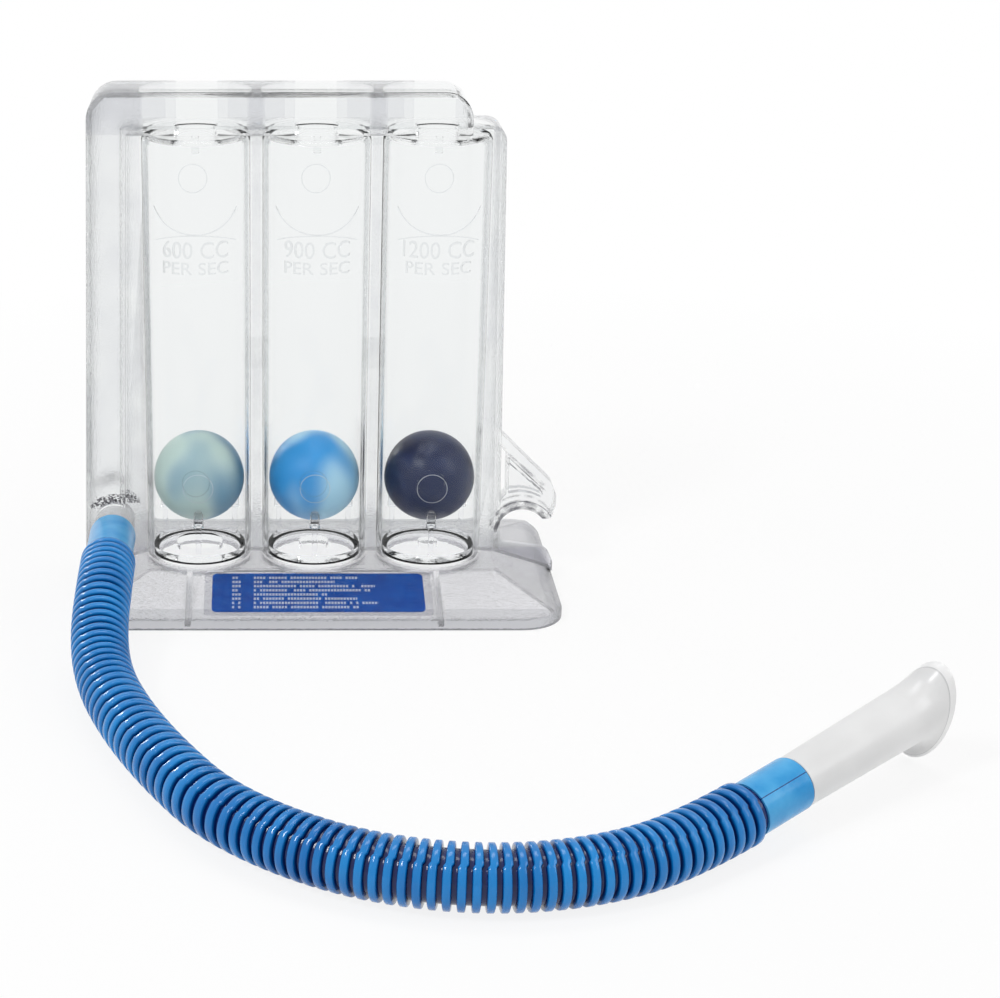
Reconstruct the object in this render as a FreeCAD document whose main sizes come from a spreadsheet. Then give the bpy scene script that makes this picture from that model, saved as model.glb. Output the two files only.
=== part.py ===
import FreeCAD, Part
import math
import os
import Sketcher

# Flow type incentive spirometer: a clear two part body with three ball chambers, an air duct
# across the top and down the left side, a corrugated hose and a mouthpiece.
# Frame: X to the right as seen from the front, Y to the rear, Z up. The parting plane of the
# two clear shells is Y = 0 and the floor is Z = 0.

doc = FreeCAD.newDocument("IncentiveSpirometer")
sheet = doc.addObject("Spreadsheet::Sheet", "Size")

# Driving dimensions in millimetres and degrees
DIMENSIONS = {
    "body_height": (140, "floor to the top of the duct"),
    "wall": (1.5, "moulded wall"),
    "base_width": (132.4, "foot, left to right"),
    "base_front": (38.7, "foot in front of the parting plane"),
    "base_rear": (39.2, "foot behind the parting plane"),
    "base_corner": (12, "plan radius of the foot"),
    "lip_height": (3.3, "upright edge of the foot"),
    "lip_round": (1.6, "rounded top of the upright edge"),
    "roof_height": (8.7, "flat top of the foot"),
    "roof_left": (48, "left end of the flat top, left of centre"),
    "roof_right": (49, "right end of the flat top"),
    "roof_half": (14.8, "half depth of the flat top"),
    "tube_pitch": (32.5, "chamber to chamber"),
    "middle_tube": (1.7, "middle chamber, left of centre"),
    "tube_radius": (14.7, "outside of a chamber"),
    "bore_radius": (13.2, "inside of a chamber"),
    "inlet_radius": (11.6, "air inlet under a seat disc"),
    "tube_top": (128.6, "top of the chambers"),
    "tube_foot": (6, "bottom of the chambers"),
    "tube_round": (2, "rounding of the chamber tops"),
    "ball_radius": (12.7, "ball"),
    "ball_skin": (1, "wall of a hollow ball"),
    "ball_rest": (31.1, "centre of a ball on its seat"),
    "disc_base": (9, "underside of the seat discs"),
    "disc_thick": (2.4, "seat disc"),
    "disc_radius": (13, "seat disc"),
    "peg_circle": (11.7, "radius of the ring of seat pegs"),
    "peg_stem": (0.75, "radius of a peg's stem"),
    "peg_head": (8.4, "underside of a peg's head above the disc"),
    "peg_tip": (1.1, "radius of a peg's round head"),
    "peg_height": (12.15, "shoulder of a peg above the disc"),
    "duct_front": (6, "duct in front of the parting plane"),
    "duct_rear": (14, "duct behind the parting plane"),
    "leg_out_foot": (66.5, "outer edge of the duct leg at the foot"),
    "leg_out_head": (63, "outer edge of the duct leg at the top"),
    "leg_in_foot": (55.4, "inner edge of the duct leg at the foot"),
    "leg_in_head": (52.8, "inner edge of the duct leg at the top"),
    "leg_foot": (2, "bottom of the duct leg"),
    "duct_end": (39.8, "right end of the top duct"),
    "duct_corner": (7.5, "outer corners of the duct"),
    "duct_edge": (1.2, "rounded outer edge of the duct"),
    "cavity_foot": (8, "bottom of the air space in the leg"),
    "flange_top": (130.5, "top of the flange beside the chambers"),
    "flange_head": (49.1, "right edge of the flange at the top"),
    "flange_foot": (51.3, "right edge of the flange at the foot"),
    "flange_corner": (4.3, "rounded top corner of the flange"),
    "flange_skirt": (13, "depth of the flange wall behind the parting plane"),
    "fin_root": (10.9, "fin on the foot beside the flange"),
    "fin_end": (9.3, "fin near the right end of the foot"),
    "fin_reach": (66.5, "right end of the fin"),
    "transfer_radius": (6, "hole from a chamber to the duct"),
    "transfer_back": (3, "centre of that hole behind the parting plane"),
    "stop_radius": (1, "ball stop pin"),
    "stop_forward": (5, "ball stop pin in front of the parting plane"),
    "stop_tip": (123.9, "lower end of a ball stop pin"),
    "port_left": (58, "hose port, left of centre"),
    "port_height": (18.4, "hose port above the floor"),
    "port_radius": (5.6, "outside of the port spigot"),
    "port_bore": (4.4, "inside of the port spigot"),
    "port_reach": (27, "end of the spigot in front of the parting plane"),
    "cuff_radius": (6.4, "outside of a hose cuff"),
    "cuff_bore": (5.7, "inside of a hose cuff"),
    "cuff_throat": (4.6, "passage behind a cuff's stop"),
    "port_cuff_start": (15, "near end of the port cuff"),
    "port_cuff_stop": (27, "stop inside the port cuff"),
    "port_cuff_end": (34.5, "far end of the port cuff"),
    "hose_radius": (7.4, "outside of the hose ridges"),
    "hose_bore": (5.4, "inside of the hose"),
    "hook_depth": (6, "hose hook, front to rear"),
    "hook_centre_x": (57.6, "centre of the arch of the hook"),
    "hook_centre_z": (13.4, "centre of the arch of the hook"),
    "hook_radius": (7.2, "inside of the arch"),
    "hook_foot": (16.6, "bottom of the hook at the flange"),
    "hook_rim": (2.1, "how far the rim stands out from the web"),
    "rib_thick": (1.5, "rib under the foot"),
    "rib_left": (36.7, "left rib, left of centre"),
    "rib_right": (32.3, "right rib"),
    "slope_angle": (12.725, "slope of the front of the foot"),
    "recess_width": (62.6, "label recess"),
    "recess_height": (21.3, "label recess along the slope"),
    "recess_depth": (0.4, "label recess"),
    "recess_start": (1.9, "recess above the lip, along the slope"),
    "label_centre": (1, "label, left of centre"),
    "label_start": (3.9, "label above the lip, along the slope"),
    "label_width": (58.4, "label"),
    "label_height": (18.1, "label along the slope"),
    "label_thick": (0.25, "label"),
    "label_corner": (1.6, "rounded corners of the label and its recess"),
    "mouth_cuff_length": (14.9, "mouth cuff"),
    "mouth_cuff_stop": (3, "stop inside the mouth cuff"),
    "plug_radius": (5.4, "mouthpiece inside the cuff"),
    "plug_length": (11.8, "mouthpiece inside the cuff"),
    "mouth_wall": (1.1, "wall of the mouthpiece"),
}

for row, (alias, (value, meaning)) in enumerate(DIMENSIONS.items(), 1):
    sheet.set(f"A{row}", meaning)
    sheet.set(f"B{row}", str(value))
    sheet.setAlias(f"B{row}", alias)
doc.recompute()


# Values and checks
def size(expression):
    return float(sheet.evalExpression(expression))


def recompute_and_check():
    doc.recompute()
    for item in doc.Objects:
        if "Invalid" in item.State or "Error" in item.State:
            raise RuntimeError(f"{item.Label} failed: {item.State}")


def expect_less(before, feature):
    doc.recompute()
    if feature.Shape.Volume >= before - 1e-3:
        raise RuntimeError(f"{feature.Label} removed nothing")


# Sketches
def new_body(name):
    body = doc.addObject("PartDesign::Body", name)
    body.Label = name
    return body


def new_sketch(body, name, plane, lift=None):
    sketch = body.newObject("Sketcher::SketchObject", f"{body.Name}_{name}")
    support = next(item for item in body.Origin.OriginFeatures if item.Role == plane)
    sketch.AttachmentSupport = [(support, "")]
    sketch.MapMode = "FlatFace"
    if lift:
        sketch.setExpression("AttachmentOffset.Base.z", lift)
    return sketch


def place(sketch, kind, axis_line, shape, point, expression):
    if expression == "0":
        sketch.addConstraint(Sketcher.Constraint("PointOnObject", shape, point, axis_line))
        return
    index = sketch.addConstraint(
        Sketcher.Constraint(kind, -1, 1, shape, point, size(expression))
    )
    sketch.setExpression(f"Constraints[{index}]", expression)


def locate(sketch, shape, point, x, y):
    place(sketch, "DistanceX", -2, shape, point, x)
    place(sketch, "DistanceY", -1, shape, point, y)


def polygon(sketch, corners):
    points = [FreeCAD.Vector(size(x), size(y), 0) for x, y in corners]
    count = len(points)
    first = sketch.GeometryCount
    for index in range(count):
        segment = Part.LineSegment(points[index], points[(index + 1) % count])
        sketch.addGeometry(segment, False)
    for index in range(count):
        following = first + (index + 1) % count
        sketch.addConstraint(Sketcher.Constraint("Coincident", first + index, 2, following, 1))
    for index, (x, y) in enumerate(corners):
        locate(sketch, first + index, 1, x, y)


def circle(sketch, x, y, radius):
    centre = FreeCAD.Vector(size(x), size(y), 0)
    shape = sketch.addGeometry(Part.Circle(centre, FreeCAD.Vector(0, 0, 1), size(radius)), False)
    locate(sketch, shape, 3, x, y)
    index = sketch.addConstraint(Sketcher.Constraint("Radius", shape, size(radius)))
    sketch.setExpression(f"Constraints[{index}]", radius)


def rounded_rectangle(sketch, left, right, low, high, radius):
    x0, x1, y0, y1 = (size(text) for text in (left, right, low, high))
    r = size(radius)
    up = FreeCAD.Vector(0, 0, 1)
    corner_centres = [(x1 - r, y0 + r), (x1 - r, y1 - r), (x0 + r, y1 - r), (x0 + r, y0 + r)]
    sides = [
        ((x0 + r, y0), (x1 - r, y0)),
        ((x1, y0 + r), (x1, y1 - r)),
        ((x1 - r, y1), (x0 + r, y1)),
        ((x0, y1 - r), (x0, y0 + r)),
    ]
    first = sketch.GeometryCount
    for quarter, (side, centre) in enumerate(zip(sides, corner_centres)):
        start, end = (FreeCAD.Vector(*point, 0) for point in side)
        sketch.addGeometry(Part.LineSegment(start, end), False)
        round_corner = Part.Circle(FreeCAD.Vector(*centre, 0), up, r)
        angle = (quarter - 1) * math.pi / 2
        sketch.addGeometry(Part.ArcOfCircle(round_corner, angle, angle + math.pi / 2), False)
    for index in range(8):
        following = first + (index + 1) % 8
        sketch.addConstraint(Sketcher.Constraint("Tangent", first + index, 2, following, 1))
    for index, direction in ((0, "Horizontal"), (2, "Vertical"), (4, "Horizontal"), (6, "Vertical")):
        sketch.addConstraint(Sketcher.Constraint(direction, first + index))
    for index in (3, 5, 7):
        sketch.addConstraint(Sketcher.Constraint("Equal", first + 1, first + index))
    index = sketch.addConstraint(Sketcher.Constraint("Radius", first + 1, r))
    sketch.setExpression(f"Constraints[{index}]", radius)
    place(sketch, "DistanceY", -1, first, 1, low)
    place(sketch, "DistanceX", -2, first + 2, 1, right)
    place(sketch, "DistanceY", -1, first + 4, 1, high)
    place(sketch, "DistanceX", -2, first + 6, 1, left)


# Features
def pad(body, name, sketch, length, reverse=False):
    feature = body.newObject("PartDesign::Pad", f"{body.Name}_{name}")
    feature.Profile = sketch
    feature.Reversed = reverse
    feature.setExpression("Length", length)
    doc.recompute()
    return feature


def pocket(body, name, sketch, length, reverse=False):
    before = body.Shape.Volume
    feature = body.newObject("PartDesign::Pocket", f"{body.Name}_{name}")
    feature.Profile = sketch
    feature.Reversed = reverse
    feature.setExpression("Length", length)
    expect_less(before, feature)
    return feature


def revolve(body, name, sketch):
    feature = body.newObject("PartDesign::Revolution", f"{body.Name}_{name}")
    feature.Profile = sketch
    feature.ReferenceAxis = (sketch, ["Axis0"])
    feature.Angle = 360
    doc.recompute()
    return feature


def axis_line(sketch, x, low, high):
    points = [FreeCAD.Vector(size(x), size(y), 0) for y in (low, high)]
    shape = sketch.addGeometry(Part.LineSegment(*points), True)
    locate(sketch, shape, 1, x, low)
    locate(sketch, shape, 2, x, high)


def edges_at(shape, places, reach=0.6):
    names = []
    for place_point in places:
        target = FreeCAD.Vector(*place_point)
        for index, edge in enumerate(shape.Edges, 1):
            middle = edge.valueAt((edge.FirstParameter + edge.LastParameter) / 2)
            if middle.distanceToPoint(target) < reach:
                names.append(f"Edge{index}")
    if len(names) < len(places):
        raise RuntimeError(f"found {len(names)} edges at {len(places)} places")
    return sorted(set(names))


def fillet(body, name, base, names, radius):
    feature = body.newObject("PartDesign::Fillet", f"{body.Name}_{name}")
    feature.Base = (base, names)
    feature.setExpression("Radius", radius)
    doc.recompute()
    return feature


# The three chambers, left to right, and the air hole in each seat disc
TUBES = {
    "600": ("-Size.middle_tube - Size.tube_pitch", 6.5),
    "900": ("-Size.middle_tube", 4.2),
    "1200": ("-Size.middle_tube + Size.tube_pitch", 2.8),
}


# Clear shells
def add_duct(body, depth, reverse):
    sketch = new_sketch(body, "DuctOutline", "XZ_Plane")
    outline = [
        ("-Size.leg_out_foot", "Size.leg_foot"),
        ("-Size.leg_in_foot", "Size.leg_foot"),
        ("-Size.leg_in_head", "Size.tube_top"),
        ("Size.duct_end", "Size.tube_top"),
        ("Size.duct_end", "Size.body_height"),
        ("-Size.leg_out_head", "Size.body_height"),
    ]
    polygon(sketch, outline)
    duct = pad(body, "Duct", sketch, depth, reverse)
    middle_y = size(depth) / 2 * (1 if reverse else -1)
    top = size("Size.body_height")
    left = -size("Size.leg_out_head")
    right = size("Size.duct_end")
    corners = edges_at(duct.Shape, [(left, middle_y, top), (right, middle_y, top)])
    rounded = fillet(body, "DuctCorners", duct, corners, "Size.duct_corner")
    inside_bend = top - size("Size.duct_corner")
    outer = []
    for index, edge in enumerate(rounded.Shape.Edges, 1):
        middle = edge.valueAt((edge.FirstParameter + edge.LastParameter) / 2)
        on_face = abs(middle.y - 2 * middle_y) < 0.01
        outside = middle.x < left + 1 or middle.z > inside_bend or middle.x > right - 0.1
        if on_face and outside and middle.z > size("Size.roof_height"):
            outer.append(f"Edge{index}")
    fillet(body, "DuctEdge", rounded, outer, "Size.duct_edge")


def add_tubes(body):
    for name, (centre, _) in TUBES.items():
        sketch = new_sketch(body, f"Tube{name}Profile", "XZ_Plane")
        shoulder = "Size.tube_top - Size.tube_round"
        rim = f"{centre} + Size.tube_radius - Size.tube_round"
        side = f"{centre} + Size.tube_radius"
        corners = [
            (centre, "Size.tube_foot"),
            (side, "Size.tube_foot"),
            (side, shoulder),
            (rim, "Size.tube_top"),
            (centre, "Size.tube_top"),
        ]
        points = [FreeCAD.Vector(size(x), size(y), 0) for x, y in corners]
        lines = [(0, 1), (1, 2), (3, 4), (4, 0)]
        for start, end in lines:
            sketch.addGeometry(Part.LineSegment(points[start], points[end]), False)
        turn = FreeCAD.Vector(points[3].x, points[2].y, 0)
        quarter = Part.Circle(turn, FreeCAD.Vector(0, 0, 1), size("Size.tube_round"))
        sketch.addGeometry(Part.ArcOfCircle(quarter, 0, math.pi / 2), False)
        joints = [(0, 2, 1, 1), (1, 2, 4, 1), (4, 2, 2, 1), (2, 2, 3, 1), (3, 2, 0, 1)]
        for joint in joints:
            sketch.addConstraint(Sketcher.Constraint("Coincident", *joint))
        for shape, point, corner in ((0, 1, 0), (0, 2, 1), (1, 2, 2), (2, 1, 3), (2, 2, 4)):
            locate(sketch, shape, point, *corners[corner])
        index = sketch.addConstraint(Sketcher.Constraint("Radius", 4, size("Size.tube_round")))
        sketch.setExpression(f"Constraints[{index}]", "Size.tube_round")
        axis_line(sketch, centre, "Size.disc_base", "Size.tube_top")
        revolve(body, f"Tube{name}", sketch)


# The foot is a shallow hip roof with an upright lip, rounded in plan and open underneath
def add_foot(body):
    half_width = "Size.base_width / 2"
    front, rear = "-Size.base_front", "Size.base_rear"
    sketch = new_sketch(body, "FootSlopes", "YZ_Plane", f"-{half_width}")
    outline = [
        (front, "0"),
        (rear, "0"),
        (rear, "Size.lip_height"),
        ("Size.roof_half", "Size.roof_height"),
        ("-Size.roof_half", "Size.roof_height"),
        (front, "Size.lip_height"),
    ]
    polygon(sketch, outline)
    pad(body, "Foot", sketch, "Size.base_width")
    sketch = new_sketch(body, "FootEnds", "XZ_Plane", "Size.base_front + 1")
    above = "Size.roof_height + 1"
    polygon(
        sketch,
        [
            (f"-{half_width}", "Size.lip_height"),
            ("-Size.roof_left", "Size.roof_height"),
            ("-Size.roof_left", above),
            (f"-{half_width} - 1", above),
            (f"-{half_width} - 1", "Size.lip_height"),
        ],
    )
    polygon(
        sketch,
        [
            (half_width, "Size.lip_height"),
            ("Size.roof_right", "Size.roof_height"),
            ("Size.roof_right", above),
            (f"{half_width} + 1", above),
            (f"{half_width} + 1", "Size.lip_height"),
        ],
    )
    pocket(body, "FootSides", sketch, "Size.base_front + Size.base_rear + 2")
    plan = (f"-{half_width}", half_width, front, rear, "Size.base_corner")
    around = (f"-{half_width} - 5", f"{half_width} + 5", f"{front} - 5", f"{rear} + 5")
    sketch = new_sketch(body, "FootPlan", "XY_Plane")
    rounded_rectangle(sketch, *plan)
    rounded_rectangle(sketch, *around, "2")
    corners = pocket(body, "FootCorners", sketch, "Size.body_height", True)
    faces = [
        f"Face{index}"
        for index, face in enumerate(corners.Shape.Faces, 1)
        if face.BoundBox.ZMax < 0.01
    ]
    hollow = body.newObject("PartDesign::Thickness", f"{body.Name}_Hollow")
    hollow.Base = (corners, faces)
    hollow.Mode = 0
    hollow.Join = 1
    hollow.Reversed = True
    hollow.setExpression("Value", "Size.wall")
    doc.recompute()
    rim = []
    lip = size("Size.lip_height")
    for index, edge in enumerate(hollow.Shape.Edges, 1):
        middle = edge.valueAt((edge.FirstParameter + edge.LastParameter) / 2)
        outside = (
            abs(middle.x) > size(half_width) - 5
            or middle.y < size(front) + 5
            or middle.y > size(rear) - 5
        )
        box = edge.BoundBox
        if outside and box.ZMin > lip - 0.01 and box.ZMax < lip + 1.2:
            rim.append(f"Edge{index}")
    fillet(body, "FootRim", hollow, rim, "Size.lip_round")


def trim_half(body, keep_front):
    sketch = new_sketch(body, "TrimOutline", "XZ_Plane")
    reach = "Size.base_width"
    rounded_rectangle(sketch, f"-{reach}", reach, f"-{reach}", f"{reach} * 2", "Size.base_corner")
    pocket(body, "Trim", sketch, reach, not keep_front)


def add_plate(body, reverse):
    sketch = new_sketch(body, "PlateOutline", "XZ_Plane")
    foot = "Size.roof_height - Size.wall / 2"
    outline = [
        ("-Size.leg_in_foot - Size.wall", "Size.lip_height + 2"),
        ("-Size.roof_left", foot),
        ("Size.roof_right", foot),
        ("Size.base_width / 2 - Size.wall / 2", "Size.lip_height - Size.wall / 2"),
        ("Size.fin_reach", "Size.lip_height - Size.wall / 2"),
        ("Size.fin_reach", "5.4"),
        ("Size.fin_reach - 1.2", "7.9"),
        ("Size.fin_reach - 3", "Size.fin_end"),
        ("Size.flange_foot + 1", "Size.fin_root"),
        ("Size.flange_foot", "Size.fin_root + 1.5"),
        ("Size.flange_head", "Size.flange_top"),
        ("Size.duct_end - Size.wall", "Size.flange_top"),
        ("Size.duct_end - Size.wall", "Size.tube_top + Size.wall"),
        ("-Size.leg_in_foot - Size.wall", "Size.tube_top + Size.wall"),
    ]
    polygon(sketch, outline)
    plate = pad(body, "Plate", sketch, "Size.wall", reverse)
    middle_y = size("Size.wall") / 2 * (1 if reverse else -1)
    place_point = (size("Size.flange_head"), middle_y, size("Size.flange_top"))
    corner = edges_at(plate.Shape, [place_point])
    fillet(body, "FlangeCorner", plate, corner, "Size.flange_corner")


def bore_tubes(body):
    sketch = new_sketch(body, "BorePlan", "XY_Plane", "Size.disc_base")
    for centre, _ in TUBES.values():
        circle(sketch, centre, "0", "Size.bore_radius")
    pocket(body, "Bores", sketch, "Size.tube_top - Size.wall - Size.disc_base", True)
    sketch = new_sketch(body, "InletPlan", "XY_Plane")
    for centre, _ in TUBES.values():
        circle(sketch, centre, "0", "Size.inlet_radius")
    pocket(body, "Inlets", sketch, "Size.disc_base + 0.5", True)


def hollow_duct(body, depth, reverse):
    sketch = new_sketch(body, "AirSpace", "XZ_Plane")
    ceiling = "Size.body_height - Size.wall"
    outline = [
        ("-Size.leg_out_foot + Size.wall + 0.15", "Size.cavity_foot"),
        ("-Size.leg_in_foot - Size.wall + 0.1", "Size.cavity_foot"),
        ("-Size.leg_in_head - Size.wall", "Size.tube_top + Size.wall"),
        ("Size.duct_end - Size.wall", "Size.tube_top + Size.wall"),
        ("Size.duct_end - Size.wall", f"{ceiling} - 3"),
        ("Size.duct_end - Size.wall - 3", ceiling),
        ("-Size.leg_out_head + Size.wall + 3.5", ceiling),
        ("-Size.leg_out_head + Size.wall", f"{ceiling} - 3.5"),
    ]
    polygon(sketch, outline)
    pocket(body, "AirDuct", sketch, f"{depth} - Size.wall", not reverse)
    sketch = new_sketch(body, "TransferPlan", "XY_Plane", "Size.tube_top - Size.wall - 0.5")
    for centre, _ in TUBES.values():
        circle(sketch, centre, "Size.transfer_back", "Size.transfer_radius")
    pocket(body, "Transfers", sketch, "Size.wall * 2 + 1", True)


def half_shell(name, depth, front):
    body = new_body(name)
    reverse = not front
    add_foot(body)
    add_duct(body, depth, reverse)
    add_tubes(body)
    trim_half(body, front)
    add_plate(body, reverse)
    bore_tubes(body)
    hollow_duct(body, depth, reverse)
    return body


# Hose port
def add_port(body):
    x, z = "-Size.port_left", "Size.port_height"
    sketch = new_sketch(body, "PortOutline", "XZ_Plane", "Size.wall")
    circle(sketch, x, z, "Size.port_radius")
    pad(body, "Port", sketch, "Size.port_reach - Size.wall")
    sketch = new_sketch(body, "PortBore", "XZ_Plane", "Size.port_reach + 0.5")
    circle(sketch, x, z, "Size.port_bore")
    pocket(body, "PortPassage", sketch, "Size.port_reach - Size.wall - 0.5")


def add_stops(body):
    sketch = new_sketch(body, "StopPlan", "XY_Plane", "Size.stop_tip")
    for centre, _ in TUBES.values():
        circle(sketch, centre, "-Size.stop_forward", "Size.stop_radius")
    pad(body, "Stops", sketch, "Size.tube_top - Size.stop_tip - 0.5")


# Ribs under the front of the foot follow the slope of its roof
def add_ribs(body):
    for name, x in (("Left", "-Size.rib_left"), ("Right", "Size.rib_right")):
        sketch = new_sketch(body, f"Rib{name}Outline", "YZ_Plane", f"{x} - Size.rib_thick / 2")
        front = "-Size.base_front + Size.wall / 2"
        outline = [
            (front, "0.6"),
            ("-Size.tube_radius + 2", "0.6"),
            ("-Size.tube_radius + 2", "Size.roof_height - Size.wall / 2"),
            ("-Size.roof_half", "Size.roof_height - Size.wall / 2"),
            (f"{front} + 1", "Size.lip_height - Size.wall / 2"),
            (front, "Size.lip_height - Size.wall"),
        ]
        polygon(sketch, outline)
        pad(body, f"Rib{name}", sketch, "Size.rib_thick")


def slope_sketch(body, name):
    sketch = new_sketch(body, name, "XY_Plane", "Size.lip_height")
    turn = FreeCAD.Rotation(FreeCAD.Vector(1, 0, 0), size("Size.slope_angle"))
    base = FreeCAD.Vector(0, -size("Size.base_front"), size("Size.lip_height"))
    sketch.AttachmentOffset = FreeCAD.Placement(base, turn)
    sketch.setExpression("AttachmentOffset.Base.y", "-Size.base_front")
    sketch.setExpression("AttachmentOffset.Rotation.Angle", "Size.slope_angle")
    return sketch


def add_recess(body):
    sketch = slope_sketch(body, "RecessPlan")
    left = "-Size.label_centre - Size.recess_width / 2"
    right = "-Size.label_centre + Size.recess_width / 2"
    high = "Size.recess_start + Size.recess_height"
    rounded_rectangle(sketch, left, right, "Size.recess_start", high, "Size.label_corner")
    pocket(body, "LabelRecess", sketch, "Size.recess_depth")


# The flange wall runs down the right edge of the rear shell, behind the parting plane
def add_flange_wall(body):
    sketch = new_sketch(body, "FlangeWallOutline", "XZ_Plane")
    corner = "Size.flange_corner"
    foot = "Size.roof_height - Size.wall / 2"
    outer = [
        ("Size.flange_foot", foot),
        ("Size.flange_head", f"Size.flange_top - {corner}"),
        (f"Size.flange_head - {corner}", "Size.flange_top"),
        ("Size.duct_end - Size.wall", "Size.flange_top"),
    ]
    inner = [
        ("Size.duct_end - Size.wall", "Size.flange_top - Size.wall"),
        (f"Size.flange_head - {corner}", "Size.flange_top - Size.wall"),
        ("Size.flange_head - Size.wall", f"Size.flange_top - {corner}"),
        ("Size.flange_foot - Size.wall", foot),
    ]
    places = outer + inner
    points = [FreeCAD.Vector(size(x), size(y), 0) for x, y in places]
    turn = FreeCAD.Vector(points[2].x, points[1].y, 0)
    up = FreeCAD.Vector(0, 0, 1)
    for index in range(8):
        start, end = points[index], points[(index + 1) % 8]
        if index in (1, 5):
            ring = Part.Circle(turn, up, start.distanceToPoint(turn))
            sketch.addGeometry(Part.ArcOfCircle(ring, 0, math.pi / 2), False)
        else:
            sketch.addGeometry(Part.LineSegment(start, end), False)
    ends = [(0, 2, 1, 1), (1, 2, 2, 1), (2, 2, 3, 1), (3, 2, 4, 1)]
    ends += [(4, 2, 5, 2), (5, 1, 6, 1), (6, 2, 7, 1), (7, 2, 0, 1)]
    for joint in ends:
        sketch.addConstraint(Sketcher.Constraint("Coincident", *joint))
    for shape, corner_place in ((0, 0), (2, 2), (3, 3), (4, 4), (6, 6), (7, 7)):
        locate(sketch, shape, 1, *places[corner_place])
    locate(sketch, 0, 2, *places[1])
    locate(sketch, 4, 2, *places[5])
    for shape, radius in ((1, corner), (5, f"{corner} - Size.wall")):
        index = sketch.addConstraint(Sketcher.Constraint("Radius", shape, size(radius)))
        sketch.setExpression(f"Constraints[{index}]", radius)
    pad(body, "FlangeWall", sketch, "Size.flange_skirt", True)


# The hook that parks the hose: an arm and an arch joined by a thin web
def add_hook(body):
    sketch = new_sketch(body, "HookOutline", "XZ_Plane")
    root = "Size.flange_foot - Size.wall / 2"
    outline = [
        (root, "Size.hook_foot"),
        ("60", "Size.hook_foot"),
        ("60", "17.8"),
        ("65.7", "17.8"),
        ("67", "21.5"),
        ("67", "25.2"),
        ("65.6", "28.4"),
        (f"{root} - 0.4", "43.9"),
    ]
    polygon(sketch, outline)
    arm = pad(body, "Hook", sketch, "Size.hook_depth", True)
    middle_y = size("Size.hook_depth") / 2
    corner = edges_at(arm.Shape, [(67, middle_y, 25.2), (65.7, middle_y, 17.8)])
    fillet(body, "HookTip", arm, corner, "1.1")
    sketch = new_sketch(body, "ArchOutline", "XZ_Plane")
    centre = FreeCAD.Vector(size("Size.hook_centre_x"), size("Size.hook_centre_z"), 0)
    radius = size("Size.hook_radius")
    level = size("Size.hook_foot") - 0.1
    angle = math.asin((level - centre.y) / radius)
    ring = Part.Circle(centre, FreeCAD.Vector(0, 0, 1), radius)
    arc = Part.ArcOfCircle(ring, angle, math.pi - angle)
    sketch.addGeometry(arc, False)
    sketch.addGeometry(Part.LineSegment(arc.EndPoint, arc.StartPoint), False)
    sketch.addConstraint(Sketcher.Constraint("Coincident", 0, 2, 1, 1))
    sketch.addConstraint(Sketcher.Constraint("Coincident", 1, 2, 0, 1))
    sketch.addConstraint(Sketcher.Constraint("Horizontal", 1))
    locate(sketch, 0, 3, "Size.hook_centre_x", "Size.hook_centre_z")
    place(sketch, "DistanceY", -1, 0, 1, "Size.hook_foot - 0.1")
    index = sketch.addConstraint(Sketcher.Constraint("Radius", 0, radius))
    sketch.setExpression(f"Constraints[{index}]", "Size.hook_radius")
    pocket(body, "Arch", sketch, "Size.hook_depth + 1")
    web_outline = [
        ("53.4", "25.5"),
        ("56.9", "26"),
        ("60.1", "25.4"),
        ("62.6", "24.3"),
        ("63.4", "26.3"),
        ("53.4", "35.9"),
    ]
    for name, start, depth in (
        ("WebFront", "-0.5", "Size.hook_rim + 0.5"),
        ("WebRear", "Size.hook_depth - Size.hook_rim", "Size.hook_rim + 1"),
    ):
        sketch = new_sketch(body, f"{name}Outline", "XZ_Plane", f"-({start})")
        polygon(sketch, web_outline)
        pocket(body, name, sketch, depth)
    sketch = new_sketch(body, "SlitOutline", "XZ_Plane")
    polygon(sketch, [("51", "22.9"), ("52.9", "25.4"), ("52.7", "37.2"), ("50.7", "39.6")])
    pocket(body, "Slit", sketch, "Size.hook_depth + 1")


front_shell = half_shell("front_shell", "Size.duct_front", True)
add_port(front_shell)
add_stops(front_shell)
add_ribs(front_shell)
add_recess(front_shell)

rear_shell = half_shell("rear_shell", "Size.duct_rear", False)
add_flange_wall(rear_shell)
add_hook(rear_shell)


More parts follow.
